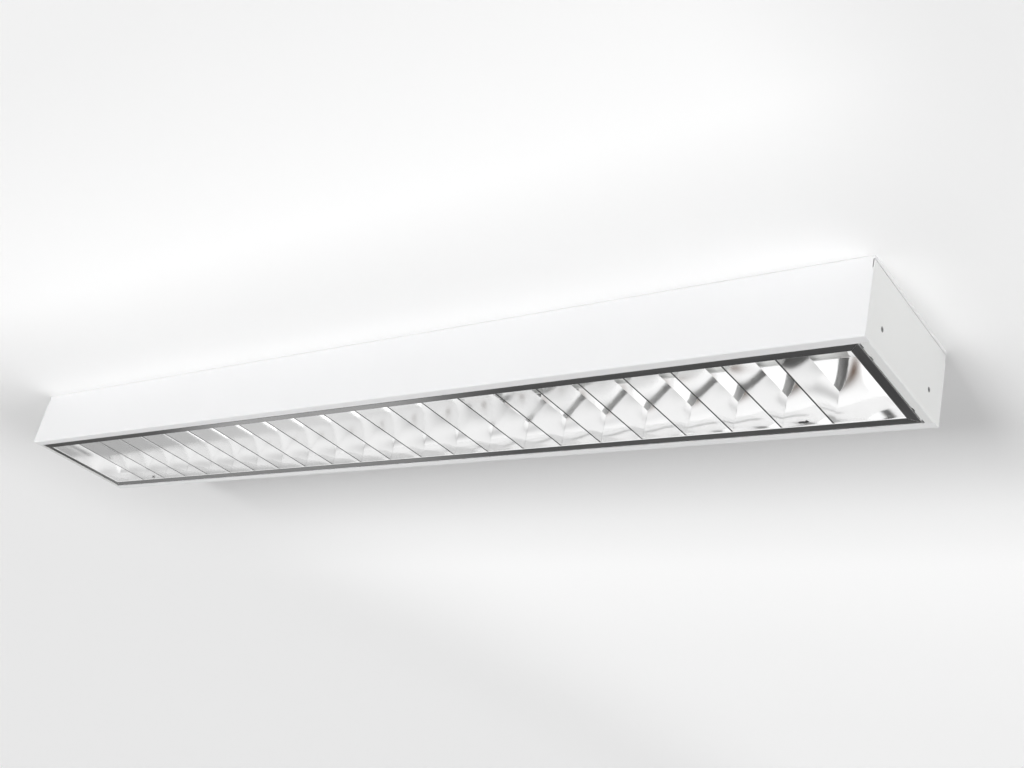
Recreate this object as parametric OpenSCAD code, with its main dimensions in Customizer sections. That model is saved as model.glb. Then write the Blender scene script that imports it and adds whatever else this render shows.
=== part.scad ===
// Surface-mounted luminaire for one linear lamp, with a mirror louvre that hinges down.
// Millimetres. X runs along the lamp, -Y is the front, +Z is up.
// The origin is the middle of the ceiling face.

/* [Lamp] */
// Length of the lamp between its cap faces
lamp_l = 1199.4; // [1150:0.1:1300]
// Outer diameter of the glass tube
lamp_d = 25.8; // [25:0.1:26.4]
// Thickness of the glass
glass_t = 0.8; // [0.6:0.1:1.2]
// Depth of the lamp axis below the ceiling face
lamp_drop = 31; // [30.5:0.1:32]
// Length of each lamp cap along the tube
lamp_cap_l = 12; // [9:0.5:16]
// Wall thickness of a lamp cap
lamp_cap_t = 0.35; // [0.25:0.05:0.5]
// Diameter of a contact pin
pin_d = 2.35; // [2.2:0.05:2.6]
// Distance between the two pins of a cap
pin_spacing = 12.7; // [12:0.1:13.4]
// Length of a pin outside the cap
pin_l = 7.1; // [6.5:0.1:7.4]

/* [Housing] */
// Room from a cap face of the lamp to the outside of the end cap
end_room = 40.3; // [40:0.1:60]
// Width of the housing
body_w = 175; // [172:1:200]
// Height of the housing
body_h = 80; // [78:0.5:90]
// Thickness of the sheet steel
sheet_t = 1; // [0.8:0.1:1.2]
// Outside radius of a fold in the sheet steel
fold_r = 1.6; // [1.3:0.1:2.2]
// Width of the return flange below each long side
flange_w = 10.5; // [9:0.5:14]
// Depth of the return flange below each end cap
cap_flange_d = 9.2; // [8.6:0.1:9.6]
// Height of the lip that the back panel turns down over an end cap
lip_h = 3.5; // [2.5:0.1:5]
// Height of the fold relief in each side wall, below the lip
relief_h = 9.5; // [6:0.5:14]
// Depth of the fold relief along the side wall
relief_d = 1.5; // [1.2:0.1:2.5]

/* [Fixings] */
// Distance between the ceiling slots along the housing
fixing_pitch_x = 900; // [700:5:1000]
// Distance between the ceiling slots across the housing
fixing_pitch_y = 120; // [116:1:124]
// Width of a ceiling slot
fixing_slot_w = 5.5; // [4.5:0.1:6.5]
// Length of a ceiling slot
fixing_slot_l = 12; // [8:0.5:20]
// Bore of the cable bush
cable_bore_d = 12; // [8:0.5:13]
// Place of the cable bush along the housing, left of the middle
cable_entry_offset = 80; // [70:1:200]

/* [Louvre] */
// Number of cross blades
blade_count = 22; // [8:1:22]
// Length of an end cell as a share of the blade pitch
end_cell_share = 1.306; // [0.9:0.001:1.6]
// Gap between the louvre and the flanges round it
louvre_gap = 1.3; // [1.1:0.05:1.6]
// Height of the louvre's rim above the underside of the flanges
louvre_recess = 0.5; // [0.3:0.1:1]
// Width of the flat rim along a side
side_rim_w = 11.2; // [10:0.1:13]
// Width of the flat rim along an end
end_rim_w = 10.5; // [10:0.1:13]
// Thickness of the reflector sheet
mirror_t = 0.5; // [0.4:0.05:0.6]
// Focal length of the side reflectors' parabola
side_focal = 32; // [30:1:45]
// Height of the side reflector that the focal length is given for, on others the curve follows
focal_reflector_h = 58; // [50:0.5:66]
// Gap between the back panel and the top of the side reflectors
reflector_top_gap = 20.5; // [18:0.5:26]
// Width of the stiffening lip on top of a side reflector
reflector_lip_w = 5; // [3:0.5:6]
// Height of the upright outer edge of the louvre
upstand_h = 12.5; // [12:0.5:14]

/* [Cross blades] */
// Width of a blade at its folded bottom edge
blade_bottom_w = 1.6; // [1.1:0.1:1.8]
// Width of a blade at its open top
blade_top_w = 11; // [8:0.5:12]
// Thickness of the blade sheet
blade_t = 0.4; // [0.3:0.05:0.45]
// Height of the blades' bottom edge above the rim
blade_rise = 1; // [0.8:0.1:2]
// Gap between the blades and the lamp
blade_lamp_gap = 5; // [4:0.5:8]
// Height of a blade's lower tab above its bottom edge
low_tab_at = 3.5; // [3:0.1:4.5]
// Height of a lower tab
low_tab_h = 3; // [2:0.1:4]
// Distance of the upper tabs below a blade's open top
high_tab_inset = 6.6; // [5:0.1:9]
// Height of an upper tab
high_tab_h = 4; // [3:0.1:5]
// Height of the blade that the tab sizes are given for, on others they follow the height
tab_blade_h = 29.6; // [24:0.1:36]

/* [Hinge and catch] */
// Diameter of the hinge pins
hinge_pin_d = 3; // [2.5:0.1:3.2]
// Distance from the outer edge of the louvre to the hinge axis
hinge_inset = 3; // [2.9:0.1:3.2]
// Outer radius of the eye round a hinge pin
hinge_eye_r = 2.5; // [2.3:0.05:2.6]
// Distance of each end cap screw from the side of the housing
cap_screw_inset = 31.5; // [29.5:0.5:33.5]
// Height of the end cap screws above the underside
cap_screw_rise = 23.7; // [22:0.1:26]
// Distance of each catch notch from the side of the housing
catch_inset = 38.5; // [37.5:0.5:39.5]
// Width of a catch spring
catch_w = 6; // [4:0.5:7]

/* [Control gear] */
// Length of the ballast case
ballast_l = 280; // [200:5:360]
// Width of the ballast case
ballast_w = 30; // [26:0.5:31]
// Height of the ballast case
ballast_h = 28; // [20:0.5:30]
// Length of the terminal block
terminal_l = 42; // [30:1:60]
// Width of the room for the ballast beside the gear tray
gear_room_w = 38; // [37.5:0.5:42]
// Depth of the gear tray below the ceiling face
tray_drop = 14; // [12:0.5:15]

/* [Hidden] */
$fn = 48;

// Clearances: running fit, sheet to sheet, free standing
run_fit = 0.05;
seam = 0.15;
stand_off = 0.3;
over = 1;

// Housing, worked out from the lamp
body_l = lamp_l + 2*end_room;
body_half = body_l/2;
opening_w = body_w - 2*flange_w;
cap_screw_y = body_w/2 - cap_screw_inset;
cap_screw_drop = body_h - cap_screw_rise;
catch_y = body_w/2 - catch_inset;
opening_half = opening_w/2;
opening_l_half = body_half - cap_flange_d;
wall_in = body_w/2 - sheet_t;
cap_in = body_half - sheet_t;
lip_gap = 0.8;
cap_top = lip_h + lip_gap;
cap_tab_l = 12;
cap_tab_margin = 6;
notch_w = 8;
notch_d = 1.2;
corner_relief_w = 10;

// Louvre frame
louvre_half_w = opening_half - louvre_gap;
louvre_half_l = opening_l_half - louvre_gap;
inner_half_w = louvre_half_w - side_rim_w;
inner_half_l = louvre_half_l - end_rim_w;
rim_z = -body_h + louvre_recess;
rim_top_z = rim_z + mirror_t;
reflector_h = body_h - louvre_recess - sheet_t - reflector_top_gap;
mirror_focal = side_focal*pow(reflector_h/focal_reflector_h, 2);
mitre_gap = 0.1;
steps = 14;
pip_r = 1.2;
pip_h = 0.25;

// Cross blades
blade_z = rim_z + blade_rise;
blade_h = body_h - louvre_recess - blade_rise - lamp_drop - lamp_d/2 - blade_lamp_gap;
tab_fit = blade_h/tab_blade_h;
low_at = low_tab_at*tab_fit;
low_h = low_tab_h*tab_fit;
high_h = high_tab_h*tab_fit;
high_at = blade_h - high_tab_inset*tab_fit - high_h;
blade_pitch = 2*inner_half_l/(blade_count - 1 + 2*end_cell_share);
blade_steps = 10;
tab_reach = 1.3;

// Marks pierced in the rear reflector
arrow_l = 11.2;
arrow_head_l = 4;
arrow_head_w = 4.6;
arrow_shaft_w = 1.8;
arrow_h = 4.9;
arrow_cell_share = 0.433;
eyelet_h = 3.9;
eyelet_r = 3.3;
eyelet_bore_r = 1.5;
eyelet_t = 0.4;
eyelet_cell_share = 0.477;

// Lamp ends
lamp_r = lamp_d/2;
lamp_z = -lamp_drop;
cap_face = lamp_l/2;
lamp_cap_r = lamp_r + run_fit + lamp_cap_t;
lamp_disc_t = 1.5;
pin_r = pin_d/2;
pin_root = 2;

// Lampholders
holder_gap = 0.5;
holder_t = 12;
holder_r = 14;
holder_neck_w = 22;
rotor_r = 9.5;
rotor_t = 8;
rotor_recess = 0.2;
rotor_slot_w = pin_d + stand_off;
rotor_slot_d = pin_l + stand_off;
holder_x = cap_face + holder_gap;
holder_back = holder_x + holder_t;
bracket_t = 1.2;
bracket_w = 28;
bracket_foot_l = 14;
bracket_h = 38;
bracket_screw_x = holder_back + bracket_t + bracket_foot_l/2;

// Hinge and catch
hinge_y = -(louvre_half_w - hinge_inset);
hinge_z = -(body_h - sheet_t - stand_off - hinge_eye_r);
hinge_r = hinge_pin_d/2;
plate_t = 1.5;
eye_l = 3.5;
plate_edge = 6;
rivet_head_r = 2.2;
rivet_head_t = 0.8;
screw_r = 1.5;
cap_screw_head_r = 2.8;
cap_screw_l = 4;
recess_w = 0.7;
recess_l = 3.4;
recess_d = 0.8;
corner_tab_w = 9;
corner_tab_h = 10.5;
catch_t = 0.4;
catch_bead = 3.2;
catch_bead_h = 6;
ledge_t = 1.5;
ledge_over = 9;
ledge_z = rim_z + upstand_h + ledge_t + stand_off;
ledge_x = louvre_half_l + catch_t + stand_off + ledge_t;
catch_foot_z = rim_z + (upstand_h - corner_tab_h)*2;
catch_rivet_z = (catch_foot_z + rim_z + upstand_h)/2;
small_rivet_r = 1;
small_rivet_head_r = 1.8;
small_rivet_head_t = 0.5;

// Gear tray
tray_t = 0.8;
tray_flange_w = 8.5;
tray_w = 2*(wall_in - gear_room_w - tray_flange_w);
tray_setback = 6;
tray_l = lamp_l - 2*tray_setback;
tray_screw_y = tray_w/2 + tray_flange_w/2;
tray_screw_inset = 30;

// Ballast, terminal block, earth terminal, cable bush
ballast_wall_gap = 6.5;
ballast_y = wall_in - ballast_wall_gap - ballast_w/2;
ballast_lug_l = 10;
ballast_lug_t = 1;
ballast_case_t = 0.6;
ballast_seam_w = 0.6;
ballast_seam_d = 0.25;
ballast_lid_h = 9;
ballast_terminal_l = 16;
ballast_terminal_h = 12;
terminal_w = 20;
terminal_h = 14;
terminal_y = -(wall_in + tray_w/2 + tray_flange_w)/2;
terminal_poles = 3;
terminal_wire_r = 1.6;
terminal_foot_l = 8;
terminal_foot_t = 2;
earth_gap = 26;
earth_x = terminal_l/2 + terminal_foot_l + earth_gap;
earth_r = 2;
earth_h = 9;
earth_nut_r = 4;
earth_nut_t = 3;
bush_wall = 2.2;
bush_r = cable_bore_d/2 + bush_wall;
bush_flange_w = 2.5;
bush_flange_t = 2;
bush_l = 7;

// Panel screws, all alike
panel_screw_r = 1.9;
panel_head_r = 3.6;
panel_head_t = 2;

function blade_name(i) = str("cross_blade_", i < 10 ? "0" : "", i);
function blade_x(i) = (i - (blade_count + 1)/2)*blade_pitch;

// Places of the screws that hold everything to the back panel: x, y, thickness under the head
panel_screw_places = concat(
    [for (s = [-1, 1]) for (x = [-1, 0, 1])
        [x*(tray_l/2 - tray_screw_inset), s*tray_screw_y, tray_t]],
    [for (x = [-1, 1]) [x*(ballast_l/2 + ballast_lug_l/2), ballast_y, ballast_lug_t]],
    [for (x = [-1, 1]) [x*(terminal_l/2 + terminal_foot_l/2), terminal_y, terminal_foot_t]],
    [for (x = [-1, 1]) [x*bracket_screw_x, 0, bracket_t]]);

// Extrudes a section drawn in Y and Z along X, centred
module along_x(l) {
    rotate([90, 0, 90]) linear_extrude(height = l, center = true) children();
}

// Extrudes a section drawn in X and Z along Y, centred
module along_y(l) {
    rotate([90, 0, 0]) linear_extrude(height = l, center = true) children();
}

// A round rod along X from x1 to x2 at a place in Y and Z
module rod_x(x1, x2, y, z, r) {
    translate([x1, y, z]) rotate([0, 90, 0]) cylinder(h = x2 - x1, r = r);
}

// Draws a right-hand piece on the left as well
module on_left() {
    mirror([1, 0, 0]) children();
}

// A rectangle with round corners, its top on the axis
module rounded_rect(w, h, r) {
    translate([-w/2 + r, -h]) square([w - 2*r, h]);
    translate([-w/2, -h + r]) square([w, h - 2*r]);
    for (s = [-1, 1]) for (z = [-r, -h + r]) translate([s*(w/2 - r), z]) circle(r);
}

// A slot with round ends along X
module slot(l, w) {
    square([l - w, w], center = true);
    for (s = [-1, 1]) translate([s*(l - w)/2, 0]) circle(w/2);
}

// Housing shell: one folded sheet with flanges, end lips and fold reliefs
module shell_section() {
    difference() {
        rounded_rect(body_w, body_h, fold_r);
        translate([0, -sheet_t]) rounded_rect(2*wall_in, body_h - 2*sheet_t, fold_r - sheet_t);
        translate([-opening_half, -body_h - over]) square([opening_w, sheet_t + 2*over]);
    }
}

module housing_shell() {
    color("white") difference() {
        union() {
            along_x(body_l) shell_section();
            for (s = [-1, 1])
                translate([s*(body_half - sheet_t/2), 0, -lip_h/2])
                    cube([sheet_t, 2*(wall_in - seam), lip_h], center = true);
        }
        for (sx = [-1, 1]) for (sy = [-1, 1])
            translate([sx*body_half, sy*body_w/2, -lip_h - relief_h/2])
                cube([2*relief_d, 2*sheet_t + 2*seam, relief_h], center = true);
        for (sx = [-1, 1]) for (sy = [-1, 1])
            translate([sx*fixing_pitch_x/2, sy*fixing_pitch_y/2, -sheet_t - over])
                linear_extrude(height = sheet_t + 2*over) slot(fixing_slot_l, fixing_slot_w);
        translate([-cable_entry_offset, terminal_y, -sheet_t - over])
            cylinder(h = sheet_t + 2*over, r = bush_r + run_fit);
        translate([earth_x, terminal_y, -sheet_t - over])
            cylinder(h = sheet_t + 2*over, r = earth_r + run_fit);
        for (p = panel_screw_places)
            translate([p[0], p[1], -sheet_t - over])
                cylinder(h = sheet_t + 2*over, r = panel_screw_r + run_fit);
    }
}

// End cap: plate with a rounded fold into the bottom flange, and two tabs along the walls
module cap_section() {
    translate([cap_in, -body_h + fold_r]) square([sheet_t, body_h - fold_r - cap_top]);
    translate([opening_l_half, -body_h]) square([cap_flange_d - fold_r, sheet_t]);
    intersection() {
        translate([body_half - fold_r, -body_h + fold_r]) difference() {
            circle(fold_r);
            circle(fold_r - sheet_t);
        }
        translate([body_half - fold_r, -body_h]) square([fold_r, fold_r]);
    }
}

module end_cap_body() {
    difference() {
        union() {
            along_y(2*(wall_in - seam)) cap_section();
            for (s = [-1, 1])
                translate([cap_in - cap_tab_l, s*(wall_in - seam) - (s + 1)*sheet_t/2,
                           -cap_screw_drop])
                    cube([cap_tab_l + sheet_t/2, sheet_t,
                          cap_screw_drop - cap_top - relief_h - cap_tab_margin]);
        }
        for (s = [-1, 1]) {
            translate([opening_l_half - over, s*body_w/2 - flange_w*(s + 1)/2 - s*seam, -body_h - over])
                cube([cap_flange_d + 2*over, flange_w, sheet_t + over + seam]);
            translate([opening_l_half, s*(opening_half - corner_relief_w/2), -body_h])
                cube([2*notch_d, corner_relief_w, 4*sheet_t], center = true);
            translate([opening_l_half, s*catch_y, -body_h])
                cube([2*notch_d, notch_w, 4*sheet_t], center = true);
            translate([body_half, s*cap_screw_y, -cap_screw_drop]) rotate([0, -90, 0]) {
                translate([0, 0, -over]) cylinder(h = cap_screw_l, r = screw_r + run_fit);
                cylinder(h = sheet_t, r1 = cap_screw_head_r, r2 = screw_r + run_fit);
            }
        }
    }
}

module end_cap_right() {
    color("gainsboro") end_cap_body();
}

module end_cap_left() {
    color("gainsboro") on_left() end_cap_body();
}

// One countersunk screw of an end cap, its axis along X, with a cross recess
module cap_screw() {
    difference() {
        rotate([0, -90, 0]) {
            cylinder(h = sheet_t - stand_off/2, r1 = cap_screw_head_r - stand_off/2, r2 = screw_r);
            cylinder(h = cap_screw_l, r = screw_r);
        }
        for (a = [0, 90]) rotate([a, 0, 0])
            cube([2*recess_d, recess_w, recess_l], center = true);
    }
}

module end_cap_screws() {
    color("dimgray") for (side = [0, 1]) mirror([side, 0, 0]) for (s = [-1, 1])
        translate([body_half, s*cap_screw_y, -cap_screw_drop]) cap_screw();
}

// Hinge bracket inside an end cap, with the eye for the hinge pin
module hinge_bracket_body() {
    bottom = -body_h + fold_r + stand_off;
    difference() {
        union() {
            translate([cap_in - plate_t, hinge_y - hinge_eye_r, bottom])
                cube([plate_t, -cap_screw_y + plate_edge - hinge_y + hinge_eye_r,
                      plate_edge - cap_screw_drop - bottom]);
            rod_x(cap_in - plate_t - eye_l, cap_in - plate_t/2, hinge_y, hinge_z, hinge_eye_r);
        }
        rod_x(cap_in - plate_t - eye_l - over, body_half, hinge_y, hinge_z, hinge_r + run_fit);
        rod_x(cap_in - plate_t - over, body_half, -cap_screw_y, -cap_screw_drop,
              screw_r + run_fit);
    }
}

module hinge_bracket_right() {
    color("silver") hinge_bracket_body();
}

module hinge_bracket_left() {
    color("silver") on_left() hinge_bracket_body();
}

// Keeper inside an end cap: the ledge that the catch spring rests on
module catch_keeper_body() {
    difference() {
        union() {
            translate([cap_in - plate_t, catch_y - ledge_over/2, ledge_z - ledge_t])
                cube([plate_t, cap_screw_y + plate_edge - catch_y + ledge_over/2,
                      plate_edge - cap_screw_drop - ledge_z + ledge_t]);
            translate([ledge_x, catch_y - ledge_over/2, ledge_z - ledge_t])
                cube([cap_in - ledge_x - plate_t/2, ledge_over, ledge_t]);
        }
        rod_x(cap_in - plate_t - over, body_half, cap_screw_y, -cap_screw_drop,
              screw_r + run_fit);
    }
}

module catch_keeper_right() {
    color("silver") catch_keeper_body();
}

module catch_keeper_left() {
    color("silver") on_left() catch_keeper_body();
}

// Gear tray: a white hat section over the wiring, above the lamp
module tray_section() {
    translate([-tray_w/2, -tray_drop]) square([tray_w, tray_t]);
    for (s = [-1, 1]) {
        translate([s*tray_w/2 - (s + 1)*tray_t/2, -tray_drop]) square([tray_t, tray_drop - sheet_t]);
        translate([s*(tray_w + tray_flange_w)/2 - tray_flange_w/2 - s*tray_t/2, -sheet_t - tray_t])
            square([tray_flange_w + tray_t, tray_t]);
    }
}

module gear_tray() {
    color("whitesmoke") difference() {
        along_x(tray_l) tray_section();
        for (p = panel_screw_places)
            translate([p[0], p[1], -sheet_t - tray_t - over])
                cylinder(h = tray_t + over + sheet_t/2, r = panel_screw_r + run_fit);
    }
}

// Lampholder bracket: an angle that hangs from the back panel behind the holder
module holder_bracket_body() {
    difference() {
        union() {
            translate([holder_back, -bracket_w/2, -bracket_h])
                cube([bracket_t, bracket_w, bracket_h - sheet_t]);
            translate([holder_back, -bracket_w/2, -sheet_t - bracket_t])
                cube([bracket_t + bracket_foot_l, bracket_w, bracket_t]);
        }
        translate([bracket_screw_x, 0, -sheet_t - bracket_t - over])
            cylinder(h = bracket_t + over + sheet_t/2, r = panel_screw_r + run_fit);
    }
}

module holder_bracket_right() {
    color("silver") holder_bracket_body();
}

module holder_bracket_left() {
    color("silver") on_left() holder_bracket_body();
}

// Lampholder: round head on a neck, with the rotor's bore and the pins' entry slot
module lampholder_body() {
    entry_w = rotor_slot_w + stand_off;
    difference() {
        translate([holder_x + holder_t/2, 0, 0]) along_x(holder_t) {
            translate([0, lamp_z]) circle(holder_r);
            translate([-holder_neck_w/2, lamp_z])
                square([holder_neck_w, lamp_drop - sheet_t - bracket_t]);
        }
        rod_x(holder_x - over, holder_x + rotor_recess + rotor_t + stand_off, 0, lamp_z,
              rotor_r + run_fit);
        translate([holder_x - over, -entry_w/2, lamp_z - holder_r - over])
            cube([over + rotor_recess + rotor_slot_d, entry_w, holder_r + over]);
    }
}

module lampholder_right() {
    color("ivory") lampholder_body();
}

module lampholder_left() {
    color("ivory") on_left() lampholder_body();
}

// Rotor: turns with the lamp's pins in its slot
module rotor_body() {
    front = holder_x + rotor_recess;
    difference() {
        rod_x(front, front + rotor_t, 0, lamp_z, rotor_r);
        translate([front - over, -rotor_r - over, lamp_z - rotor_slot_w/2])
            cube([over + rotor_slot_d, 2*(rotor_r + over), rotor_slot_w]);
    }
}

module rotor_right() {
    color("ivory") rotor_body();
}

module rotor_left() {
    color("ivory") on_left() rotor_body();
}

// Lamp: glass tube, two caps and four pins
module lamp_tube() {
    end = cap_face - lamp_disc_t;
    color("white") difference() {
        rod_x(-end, end, 0, lamp_z, lamp_r);
        rod_x(-end - over, end + over, 0, lamp_z, lamp_r - glass_t);
    }
}

module lamp_cap_body() {
    difference() {
        rod_x(cap_face - lamp_cap_l, cap_face, 0, lamp_z, lamp_cap_r);
        rod_x(cap_face - lamp_cap_l - over, cap_face - lamp_disc_t, 0, lamp_z, lamp_r + run_fit);
        for (s = [-1, 1])
            rod_x(cap_face - lamp_disc_t - over, cap_face + over, s*pin_spacing/2, lamp_z,
                  pin_r + run_fit);
    }
}

module lamp_cap_right() {
    color("lightgray") lamp_cap_body();
}

module lamp_cap_left() {
    color("lightgray") on_left() lamp_cap_body();
}

module lamp_pins() {
    color("gold") for (side = [0, 1]) mirror([side, 0, 0]) for (s = [-1, 1])
        rod_x(cap_face - pin_root, cap_face + pin_l, s*pin_spacing/2, lamp_z, pin_r);
}

// Screws that hold the tray, ballast, terminal block and brackets to the back panel
module panel_screws() {
    color("silver") for (p = panel_screw_places)
        translate([p[0], p[1], -sheet_t - p[2]]) difference() {
            union() {
                translate([0, 0, -panel_head_t]) cylinder(h = panel_head_t, r = panel_head_r);
                cylinder(h = p[2] + sheet_t, r = panel_screw_r);
            }
            for (a = [0, 90]) rotate([0, 0, a]) translate([0, 0, -panel_head_t])
                cube([recess_l, recess_w, 2*recess_d], center = true);
        }
}

// Ballast: a closed steel case with its lid's seam along both sides and a slotted lug at each end
module ballast() {
    color("lightgray") difference() {
        union() {
            translate([0, ballast_y, -sheet_t - ballast_h/2])
                cube([ballast_l, ballast_w, ballast_h], center = true);
            translate([0, ballast_y, -sheet_t - ballast_lug_t/2])
                cube([ballast_l + 2*ballast_lug_l, ballast_w/2, ballast_lug_t], center = true);
        }
        for (s = [-1, 1]) {
            translate([s*(ballast_l/2 + ballast_lug_l/2), ballast_y, -sheet_t - ballast_lug_t - over])
                cylinder(h = ballast_lug_t + 2*over, r = panel_screw_r + run_fit);
            translate([s*(ballast_l - ballast_terminal_l)/2, ballast_y,
                       -sheet_t - ballast_h + ballast_terminal_h/2])
                cube([ballast_terminal_l + ballast_case_t/2, ballast_w - 2*ballast_case_t,
                      ballast_terminal_h + ballast_case_t/2], center = true);
            translate([0, ballast_y + s*ballast_w/2, -sheet_t - ballast_lid_h])
                cube([ballast_l + over, 2*ballast_seam_d, ballast_seam_w], center = true);
        }
    }
}

// Plug-in terminals set into the two ends of the ballast
module ballast_terminals() {
    w = ballast_w - 2*ballast_case_t - 2*seam;
    pitch = w/(terminal_poles + 1);
    color("white") for (s = [-1, 1]) difference() {
        translate([s*(ballast_l - ballast_terminal_l)/2, ballast_y,
                   -sheet_t - ballast_h + ballast_terminal_h/2])
            cube([ballast_terminal_l, w, ballast_terminal_h], center = true);
        for (i = [-1:1])
            rod_x(s*ballast_l/2 - ballast_terminal_l/4, s*ballast_l/2 + ballast_terminal_l/4,
                  ballast_y + i*pitch, -sheet_t - ballast_h + ballast_terminal_h/2, terminal_wire_r);
    }
}

// Mains terminal block: a body with wire funnels on both sides and a foot at each end
module terminal_block() {
    pitch = terminal_l/terminal_poles;
    color("white") difference() {
        union() {
            translate([0, terminal_y, -sheet_t - terminal_h/2])
                cube([terminal_l, terminal_w, terminal_h], center = true);
            translate([0, terminal_y, -sheet_t - terminal_foot_t/2])
                cube([terminal_l + 2*terminal_foot_l, terminal_w/2, terminal_foot_t], center = true);
        }
        for (i = [-1:1]) translate([i*pitch, terminal_y, -sheet_t - terminal_h/2]) {
            rotate([90, 0, 0]) cylinder(h = terminal_w + 2*over, r = terminal_wire_r, center = true);
            translate([0, 0, -terminal_h/2]) cylinder(h = terminal_h/2, r = terminal_wire_r, center = true);
        }
        for (s = [-1, 1])
            translate([s*(terminal_l/2 + terminal_foot_l/2), terminal_y, -sheet_t - terminal_foot_t - over])
                cylinder(h = terminal_foot_t + 2*over, r = panel_screw_r + run_fit);
    }
}

// Earth terminal: a stud with a hexagon nut
module earth_terminal() {
    color("gold") translate([earth_x, terminal_y, -sheet_t]) {
        translate([0, 0, -earth_h]) cylinder(h = earth_h + sheet_t, r = earth_r);
        translate([0, 0, -earth_nut_t]) cylinder(h = earth_nut_t, r = earth_nut_r, $fn = 6);
    }
}

// Cable bush: a barrel through the back panel with a flange inside
module cable_bush() {
    color("dimgray") translate([-cable_entry_offset, terminal_y, 0]) difference() {
        union() {
            translate([0, 0, -bush_l]) cylinder(h = bush_l, r = bush_r);
            translate([0, 0, -sheet_t - bush_flange_t])
                cylinder(h = bush_flange_t, r = bush_r + bush_flange_w);
        }
        translate([0, 0, -bush_l - over]) cylinder(h = bush_l + 2*over, r = cable_bore_d/2);
    }
}

// Half width of the space between the side reflectors at a height above the rim
function side_in(h) = inner_half_w - h*h/(4*mirror_focal);
function side_slope(h) = h/(2*mirror_focal);
function side_out(h) = side_in(h) + mirror_t*sqrt(1 + side_slope(h)*side_slope(h));

// Half width of a blade at a height above its bottom edge
blade_flare = (blade_top_w - blade_bottom_w)/2;
function blade_half(h) = blade_bottom_w/2 + blade_flare*pow(h/blade_h, 2);
function blade_slope(h) = 2*blade_flare*h/(blade_h*blade_h);
function blade_inner(h) = blade_half(h) - blade_t*sqrt(1 + pow(blade_slope(h), 2));

// The space between the two side reflectors, drawn in from them by a clearance
module cell_section(clear, h1, h2) {
    hs = [for (i = [0:steps]) h1 + (h2 - h1)*i/steps];
    polygon(concat(
        [for (h = hs) [side_in(h) - clear, rim_z + h]],
        [for (i = [steps:-1:0]) [-(side_in(hs[i]) - clear), rim_z + hs[i]]]));
}

// Slots in a side reflector for the tabs of all blades
module tab_slots() {
    low = blade_half(low_at + low_h) + seam;
    high_in = blade_inner(high_at) - seam;
    high_out = blade_half(high_at + high_h) + seam;
    for (i = [1:blade_count]) translate([blade_x(i), 0, blade_z]) {
        slot_cut(-low, low, low_at, low_h);
        for (s = [0, 1]) mirror([s, 0, 0])
            slot_cut(high_in, high_out, high_at, high_h);
    }
}

// One slot through the mirror, from in front of its face to behind its back
module slot_cut(x1, x2, at, h) {
    front = side_in(blade_rise + at + h + seam) - tab_reach;
    back = side_out(blade_rise + at - seam) + tab_reach;
    translate([x1, front, at - seam]) cube([x2 - x1, back - front, h + 2*seam]);
}

// Side reflector: upright edge, mitred rim, parabolic mirror and top lip, drawn at the rear
module side_reflector_body() {
    hs = [for (i = [0:steps]) reflector_h*i/steps];
    top = rim_z + reflector_h;
    union() {
        along_x(2*(inner_half_l - mitre_gap)) {
            polygon(concat(
                [for (h = hs) [side_in(h), rim_z + h]],
                [for (i = [steps:-1:0]) [side_out(hs[i]), rim_z + hs[i]]]));
            translate([side_in(reflector_h), top - mirror_t]) square([reflector_lip_w, mirror_t]);
        }
        translate([0, 0, rim_z]) linear_extrude(height = mirror_t) polygon([
            [-louvre_half_l + mitre_gap, louvre_half_w],
            [louvre_half_l - mitre_gap, louvre_half_w],
            [inner_half_l - mitre_gap, inner_half_w],
            [-inner_half_l + mitre_gap, inner_half_w]]);
        translate([-louvre_half_l + mirror_t, louvre_half_w - mirror_t, rim_z])
            cube([2*(louvre_half_l - mirror_t), mirror_t, upstand_h]);
        for (s = [0, 1]) mirror([s, 0, 0]) corner_tab();
    }
}

// Tab at the end of a side reflector's upright edge, riveted to the end reflector
module corner_tab() {
    difference() {
        translate([louvre_half_l - 2*mirror_t, louvre_half_w - corner_tab_w,
                   rim_z + upstand_h - corner_tab_h])
            cube([mirror_t, corner_tab_w, corner_tab_h]);
        rod_x(louvre_half_l - 2*mirror_t - over, louvre_half_l, -hinge_y, hinge_z,
              hinge_r + run_fit);
    }
}

module side_reflector_front() {
    color("silver") mirror([0, 1, 0]) difference() {
        side_reflector_body();
        tab_slots();
    }
}

// Arrow that points along +X, centred
module arrow_section() {
    polygon([
        [-arrow_l/2, -arrow_shaft_w/2],
        [arrow_l/2 - arrow_head_l, -arrow_shaft_w/2],
        [arrow_l/2 - arrow_head_l, -arrow_head_w/2],
        [arrow_l/2, 0],
        [arrow_l/2 - arrow_head_l, arrow_head_w/2],
        [arrow_l/2 - arrow_head_l, arrow_shaft_w/2],
        [-arrow_l/2, arrow_shaft_w/2]]);
}

arrow_x = blade_x(blade_count - 1) + arrow_cell_share*blade_pitch;
eyelet_x = blade_x(1) + eyelet_cell_share*blade_pitch;

module side_reflector_rear() {
    reach = side_rim_w;
    color("silver") difference() {
        side_reflector_body();
        tab_slots();
        translate([arrow_x, side_in(arrow_h), rim_z + arrow_h]) along_y(reach) arrow_section();
        translate([eyelet_x, side_in(eyelet_h), rim_z + eyelet_h]) rotate([90, 0, 0])
            cylinder(h = reach, r = eyelet_bore_r + eyelet_t + run_fit, center = true);
    }
}

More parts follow.
